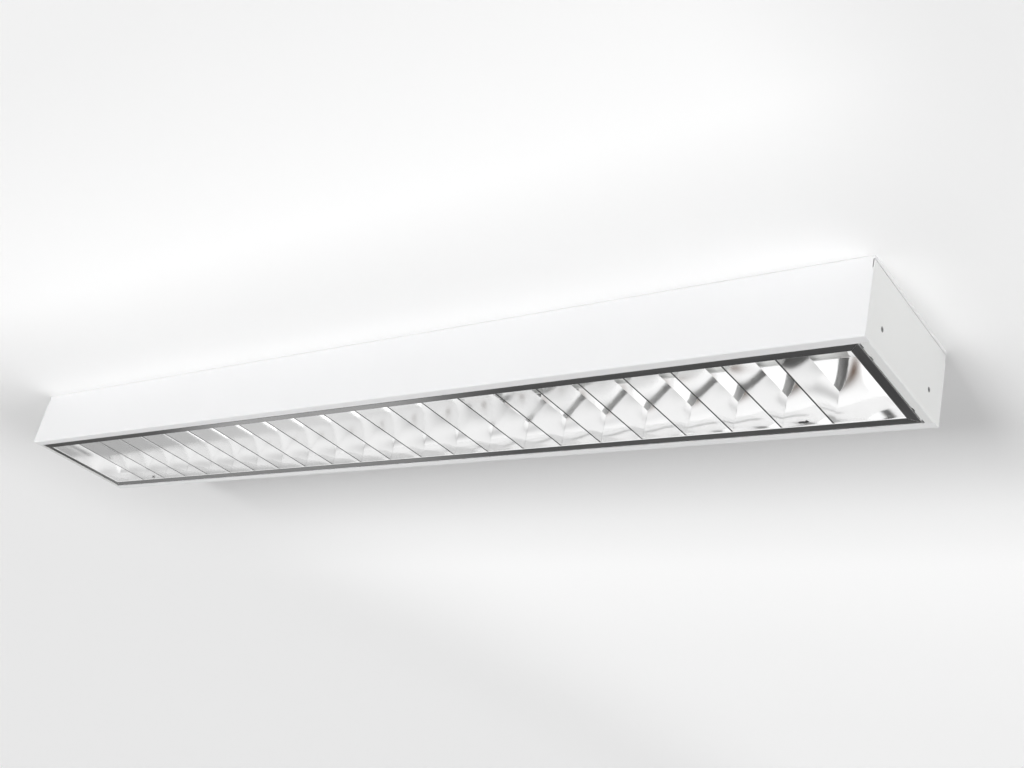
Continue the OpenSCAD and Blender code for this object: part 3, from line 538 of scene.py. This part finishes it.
def pierce(bm, loop):
    # cuts a closed outline of (x, height) points out of the sheet near it
    along = [point[0] for point in loop]
    up = [point[1] for point in loop]
    aside, above = pierceReach["along"], pierceReach["up"]

    def near(face):
        middle = face.calc_center_median()
        return (min(along) - aside < middle.x < max(along) + aside
                and min(up) - above < middle.z - louvre["rimZ"] < max(up) + above
                and abs(face.normal.y) > pierceReach["facing"])

    for first, second in zip(loop, loop[1:] + loop[:1]):
        faces = [face for face in bm.faces if near(face)]
        geom = faces + list({edge for face in faces for edge in face.edges})
        geom += list({vert for face in faces for vert in face.verts})
        run = Vector((second[0] - first[0], 0, second[1] - first[1]))
        spot = Vector((first[0], 0, louvre["rimZ"] + first[1]))
        bmesh.ops.bisect_plane(bm, geom=geom, plane_co=spot, plane_no=Vector((run.z, 0, -run.x)))
    bm.normal_update()

    def inside(x, h):
        crossings = 0
        for (x1, h1), (x2, h2) in zip(loop, loop[1:] + loop[:1]):
            if (h1 > h) != (h2 > h) and x < x1 + (h - h1) * (x2 - x1) / (h2 - h1):
                crossings += 1
        return crossings % 2 == 1

    gone = [face for face in bm.faces if near(face)
            and inside(face.calc_center_median().x, face.calc_center_median().z - louvre["rimZ"])]
    bmesh.ops.delete(bm, geom=gone, context="FACES")


arrow = {"centre": 520.8 * mm, "height": 4.9 * mm, "length": 11.2 * mm,
         "headLength": 4 * mm, "headWidth": 4.6 * mm, "shaftWidth": 1.8 * mm}
eyelet = {"centre": -525.5 * mm, "height": 3.9 * mm, "bore": 1.9 * mm, "sides": 14}


def arrowLoop(size):
    tail, tip = size["centre"] - size["length"] / 2, size["centre"] + size["length"] / 2
    neck, mid = tip - size["headLength"], size["height"]
    shaft, head = size["shaftWidth"] / 2, size["headWidth"] / 2
    return [(tail, mid - shaft), (neck, mid - shaft), (neck, mid - head), (tip, mid),
            (neck, mid + head), (neck, mid + shaft), (tail, mid + shaft)]


def roundLoop(size):
    turns = [2 * math.pi * part / size["sides"] for part in range(size["sides"])]
    return [(size["centre"] + size["bore"] * math.cos(turn), size["height"] + size["bore"] * math.sin(turn))
            for turn in turns]


cornerTab = {"width": 9 * mm, "height": 10.5 * mm}
pip = {"radius": 1.2 * mm, "height": 0.25 * mm, "taper": 0.8, "sides": 24}


def addCornerTabs(bm, side):
    # tabs at both ends of a side reflector's upright edge, riveted to the end reflectors
    sheet = louvre["sheet"]
    size = Matrix.Diagonal((sheet, cornerTab["width"], cornerTab["height"], 1))
    height = louvre["rimZ"] + louvre["upstand"] - cornerTab["height"] / 2
    for end in (-1, 1):
        spot = Vector((end * (louvre["halfLength"] - sheet * 1.5),
                       side * (louvre["halfWidth"] - cornerTab["width"] / 2), height))
        bmesh.ops.create_cube(bm, size=1, matrix=Matrix.Translation(spot) @ size)


def addPip(bm, side):
    # small tapered pip in the middle of an end rim, pressed downwards
    spot = Vector((side * (louvre["halfLength"] + louvre["innerHalfLength"]) / 2, 0, louvre["rimZ"]))
    bmesh.ops.create_cone(bm, cap_ends=True, segments=pip["sides"], radius1=pip["radius"] * pip["taper"],
                          radius2=pip["radius"], depth=pip["height"] * 2, matrix=Matrix.Translation(spot))


def makeSideReflector(side, name, node):
    rim, inner, outer = louvre["rimZ"], louvre["innerHalfWidth"], louvre["halfWidth"]
    spans = slotSpans()
    heights = steps(0, louvre["mirrorHeight"], louvre["rows"])
    heights += [edge for span in spans for edge in span[2:]]
    bendTop = louvre["bendRadius"] * louvre["bendShare"]
    heights = sorted({round(height, digits) for height in heights if height > bendTop})
    outline = rimOutline(inner, outer)
    outline += [(mirrorHalfWidth(height), rim + height) for height in heights]
    outline += [(mirrorHalfWidth(louvre["mirrorHeight"]) + louvre["lip"], rim + louvre["mirrorHeight"])]
    slope = (louvre["halfLength"] - louvre["innerHalfLength"]) / (outer - inner)

    def endAt(point):
        if point[1] > rim + tiny and point[0] > outer - tiny:
            return louvre["halfLength"] - louvre["sheet"]
        return louvre["innerHalfLength"] - louvre["mitreGap"] + max(0, point[0] - inner) * slope

    cuts = {round(bladeCentre(number) + edge, digits)
            for number in bladeNumbers for span in spans for edge in span[:2]}
    stations = [-louvre["draftHalfLength"], *sorted(cuts), louvre["draftHalfLength"]]
    ends = [endAt(point) for point in outline]
    ends[-1] = louvre["innerHalfLength"] - louvre["mitreGap"]
    bm = sweepSheet([(side * point[0], point[1]) for point in outline], stations, layAlongX, ends)
    gone = []
    for face in bm.faces:
        middle = face.calc_center_median()
        x, height = fromBlade(middle.x), middle.z - rim
        if abs(middle.y) < inner and any(a < x < b and c < height < d for a, b, c, d in spans):
            gone.append(face)
    bmesh.ops.delete(bm, geom=gone, context="FACES")
    if side > 0:
        # only the rear reflector is pierced
        bm.normal_update()
        pierce(bm, arrowLoop(arrow))
        pierce(bm, roundLoop(eyelet))
    finishSheet(bm, name, louvre["sheet"], sideMirror, "louvre", [node],
                [lambda made: addCornerTabs(made, side)])


def makeEndReflector(side, name, node):
    rim, inner, outer = louvre["rimZ"], louvre["innerHalfLength"], louvre["halfLength"]
    base = rim + crossBlade["rise"]
    outline = rimOutline(inner, outer)
    outline += [(inner - bladeHalfWidth(height) + crossBlade["bottomWidth"] / 2, base + height)
                for height in steps(0, crossBlade["height"], crossBlade["rows"])[1:]]
    slope = (louvre["halfWidth"] - louvre["innerHalfWidth"]) / (outer - inner)

    def endAt(point):
        if point[1] > rim + tiny and point[0] > outer - tiny:
            return louvre["halfWidth"] - louvre["sheet"]
        if point[0] <= inner + tiny:
            return mirrorHalfWidth(max(0, point[1] - rim)) - crossBlade["endGap"]
        return louvre["innerHalfWidth"] - louvre["mitreGap"] + (point[0] - inner) * slope

    half = louvre["draftHalfWidth"]
    bm = sweepSheet([(side * point[0], point[1]) for point in outline], [-half, 0, half], layAlongY,
                    [endAt(point) for point in outline])
    finishSheet(bm, name, louvre["sheet"], bladeMirror, "louvre", [node],
                [lambda made: addPip(made, side)])


def makeBlade(number):
    centre, base = bladeCentre(number), louvre["rimZ"] + crossBlade["rise"]
    low, high = crossBlade["lowTab"], crossBlade["highTab"]
    step, half = crossBlade["tabStep"], louvre["draftHalfWidth"]
    heights = set(steps(0, crossBlade["height"], crossBlade["rows"]))
    heights |= {edge + shift for edge in (low[0], high[0]) for shift in (-step, 0)}
    heights |= {edge + shift for edge in (low[1], high[1]) for shift in (0, step)}
    heights = sorted(heights)
    leg = [(bladeHalfWidth(height), height) for height in heights]
    outline = [(-x, height) for x, height in reversed(leg)] + leg

    def endAt(height):
        inTab = any(bottom - step / 2 < height < top + step / 2 for bottom, top in (low, high))
        return mirrorHalfWidth(crossBlade["rise"] + height) + (crossBlade["tabReach"] if inTab
                                                               else -crossBlade["endGap"])

    bm = sweepSheet([(centre + x, base + height) for x, height in outline], [-half, 0, half], layAlongY,
                    [endAt(height) for x, height in outline])
    node = f"cross_blade_{number:02d}"
    finishSheet(bm, f"blade{number:02d}", crossBlade["sheet"], vaneMirror, "louvre", [node])


makeSideReflector(-1, "sideReflectorFront", "side_reflector_front")
makeSideReflector(1, "sideReflectorRear", "side_reflector_rear")
makeEndReflector(-1, "endReflectorLeft", "end_reflector_left")
makeEndReflector(1, "endReflectorRight", "end_reflector_right")
for number in bladeNumbers:
    makeBlade(number)
print("louvre folded")


# Ceiling and studio light
studio = {
    "ceilingReach": 60.0, "ceilingLift": 0.02 * mm, "holeInset": 1.5 * mm,
    "ceilingShade": 0.92,
    # the ceiling's painted glow and painted shadow by distance behind the body's middle, from bandStart over
    # bandReach metres
    "bandStart": -1.0, "bandReach": 2.5, "farSpan": (-1, 1), "glowFar": (0.18, 0.22),
    # where the far level takes over at the left and right, and where a painted shadow dims the bands to the
    # left
    "glowLeft": (-1.2, -0.6), "glowRight": (0.61, 0.8), "paintedShadowSpan": (-1.0, -0.2), "paintedShadowLevel": 0.6,
    "paintedGlowAndShadowBands": ((0.0, 0.25), (0.16, 0.26), (0.28, 0.36), (0.35, 0.16), (0.4, 0.06), (0.49, 0.04),
                  (0.53, 0.1), (0.58, 0.23), (0.65, 0.32), (0.8, 0.27), (1.0, 0.245)),
    "ambient": 0.168, "backdrop": 0.93, "mirrorBase": 1.28, "darkest": 0.04,
    # direction to each lamp, strength, and how wide it looks in degrees
    "lamps": {
        "key": {"strength": 1.82, "from": (-0.06, -0.937, -0.342), "wide": 18},
        "low": {"strength": 0.73, "from": (0.1, -0.15, -1), "wide": 50},
        "fill": {"strength": 1.47, "from": (0.98, 0.05, -0.18), "wide": 30}},
    "inner": {"power": 0.22, "length": 1.2, "width": 0.03, "aside": 0.03, "height": -47 * mm},
    # soft flags that metal and glass see: turn and drop of the axis in degrees, tightness, change of level
    "flags": ((28, 18, 40, -0.75), (-56, 24, 90, -0.55), (154, 10, 30, -0.6), (-150, 58, 25, -0.7),
              (-88, 34, 90, -0.6), (-38, 17, 120, -0.55), (-145, 15, 100, -0.4), (120, 30, 20, 0.2)),
    "brownFlags": ((-75, 45, 50, (-1.06, -1.12, -1.15)), (-44, 42, 600, (-1.06, -1.12, -1.15))),
    # long strips that run with the body, black cards and one light: degrees along and across where each
    # begins, is full, is still full and ends, and its change of level
    "strips": (
        {"along": (100, 106, 126, 132), "across": (26.6, 27.7, 32.1, 33.2), "change": -1.0},
        {"along": (141, 143, 150, 156), "across": (29.0, 30.0, 32.1, 33.2), "change": -0.7},
        {"along": (128, 133, 139, 142), "across": (30.8, 31.3, 32.2, 32.8), "change": 2.0}),
}


def makeCeiling():
    # seen from below only: its back lets the view through
    bm = bmesh.new()
    bmesh.ops.create_grid(bm, x_segments=1, y_segments=1, size=studio["ceilingReach"] / 2)
    low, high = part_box("housing_shell")
    inset = studio["holeInset"]
    for spot, across in ((low.x + inset, 0), (high.x - inset, 0), (low.y + inset, 1), (high.y - inset, 1)):
        place, normal = Vector(), Vector()
        place[across], normal[across] = spot, 1
        everything = bm.verts[:] + bm.edges[:] + bm.faces[:]
        bmesh.ops.bisect_plane(bm, geom=everything, plane_co=place, plane_no=normal)
    gone = [face for face in bm.faces
            if abs(face.calc_center_median().x) < high.x and abs(face.calc_center_median().y) < high.y]
    bmesh.ops.delete(bm, geom=gone, context="FACES")
    bmesh.ops.reverse_faces(bm, faces=bm.faces[:])
    bmesh.ops.translate(bm, verts=bm.verts[:], vec=(0, 0, studio["ceilingLift"]))
    mesh = bpy.data.meshes.new("ceiling")
    bm.to_mesh(mesh)
    bm.free()
    material, paint = newPaint("ceilingPaint")
    shade = paint.node("ShaderNodeBsdfDiffuse", {}, {"Color": tone(studio["ceilingShade"])})
    along, behind = paint.axes(paint.place())[:2]
    # painted glow on the ceiling, with painted shadow behind the body and to its left, seen only by the
    # camera and mirrors
    paintedGlowAndShadow = paint.node("ShaderNodeValToRGB",
                       {"stops": [(place, tone(level)) for place, level in studio["paintedGlowAndShadowBands"]]},
                       {0: (behind - studio["bandStart"]) / studio["bandReach"]})
    paintedLeftShadow = paint.span(along, *studio["paintedShadowSpan"], studio["paintedShadowLevel"], 1)
    paintedGlowAndShadow = paint.node("ShaderNodeVectorMath", {"operation": "SCALE"}, {0: paintedGlowAndShadow, "Scale": paintedLeftShadow})
    aside = paint.span(along, *studio["glowLeft"], 1, 0) + paint.span(along, *studio["glowRight"], 0, 1)
    far = paint.span(along, *studio["farSpan"], *studio["glowFar"])
    glow = paint.node("ShaderNodeEmission", {}, {"Color": paint.blend(aside, paintedGlowAndShadow, far), "Strength": 1.0})
    lit = paint.node("ShaderNodeAddShader", {}, {0: shade, 1: glow})
    camera, mirror = paint.rays()
    front = paint.mixShader(camera + mirror, shade, lit)
    clear = paint.node("ShaderNodeBsdfTransparent")
    back = paint.node("ShaderNodeNewGeometry", output="Backfacing")
    paint.node("ShaderNodeOutputMaterial", {}, {0: paint.mixShader(back, front, clear)})
    mesh.materials.append(material)
    ceiling = bpy.data.objects.new("ceiling", mesh)
    scene.collection.objects.link(ceiling)


def makeLamp(name, lamp):
    data = bpy.data.lights.new(name, "SUN")
    data.energy, data.angle = lamp["strength"], math.radians(lamp["wide"])
    light = bpy.data.objects.new(name, data)
    light.rotation_euler = Vector(lamp["from"]).to_track_quat("Z", "Y").to_euler()
    light.visible_glossy = False
    scene.collection.objects.link(light)


def makeInnerLight(light):
    # two hidden strips stand for the room light that comes through the louvre to the lamp and the gear tray
    for side in (-1, 1):
        data = bpy.data.lights.new("inner", "AREA")
        data.shape, data.energy = "RECTANGLE", light["power"]
        data.size, data.size_y = light["length"], light["width"]
        lamp = bpy.data.objects.new("inner", data)
        lamp.location, lamp.rotation_euler = (0, side * light["aside"], light["height"]), (math.pi, 0, 0)
        lamp.visible_camera = lamp.visible_glossy = False
        scene.collection.objects.link(lamp)


def flagAt(paint, way, turn, drop, tight):
    turn, drop = math.radians(turn), math.radians(drop)
    axis = (math.cos(drop) * math.cos(turn), math.cos(drop) * math.sin(turn), -math.sin(drop))
    near = paint.node("ShaderNodeVectorMath", {"operation": "DOT_PRODUCT"}, {0: way, 1: axis}, "Value")
    return near.sum("EXPONENT", (near - 1) * tight)


def windowAt(paint, angle, edges):
    # one from the second edge to the third, fading to nothing at the first and the last
    start, full, last, end = [math.radians(edge) for edge in edges]
    return paint.span(angle, start, full, 0, 1) * paint.span(angle, last, end, 1, 0)


def stripAt(paint, way, strip):
    # one inside the strip, by the angle from the X axis and the angle round it
    x, y, z = paint.axes(way)
    along = x.sum("ARCCOSINE", x)
    across = y.sum("ARCTAN2", z * -1, y)
    return windowAt(paint, along, strip["along"]) * windowAt(paint, across, strip["across"])


def makeWorld():
    # plain white for the camera, soft flags for metal and glass, an even level for everything else
    world = bpy.data.worlds.new("studio")
    scene.world = world
    world.use_nodes = True
    paint = Paint(world.node_tree)
    way = paint.node("ShaderNodeTexCoord", output="Generated")
    level = studio["mirrorBase"]
    for turn, drop, tight, change in studio["flags"]:
        level = flagAt(paint, way, turn, drop, tight) * change + level
    for strip in studio["strips"]:
        level = stripAt(paint, way, strip) * strip["change"] + level
    tinted = level
    for turn, drop, tight, change in studio["brownFlags"]:
        brown = paint.node("ShaderNodeVectorMath", {"operation": "SCALE"},
                           {0: change, "Scale": flagAt(paint, way, turn, drop, tight)})
        tinted = paint.node("ShaderNodeVectorMath", {"operation": "ADD"}, {0: tinted, 1: brown})
    darkest = tone(studio["darkest"])[:3]
    tinted = paint.node("ShaderNodeVectorMath", {"operation": "MAXIMUM"}, {0: tinted, 1: darkest})
    mirrored = paint.node("ShaderNodeBackground", {}, {"Color": tinted, "Strength": 1.0})
    even = paint.node("ShaderNodeBackground", {}, {"Color": tone(1), "Strength": studio["ambient"]})
    white = paint.node("ShaderNodeBackground", {}, {"Color": tone(1), "Strength": studio["backdrop"]})
    camera, mirror = paint.rays()
    shown = paint.mixShader(camera, paint.mixShader(mirror, even, mirrored), white)
    paint.node("ShaderNodeOutputWorld", {}, {0: shown})


makeCeiling()
for name, lamp in studio["lamps"].items():
    makeLamp(name, lamp)
makeInnerLight(studio["inner"])
makeWorld()
scene.view_settings.view_transform = "Standard"
print("studio lit")
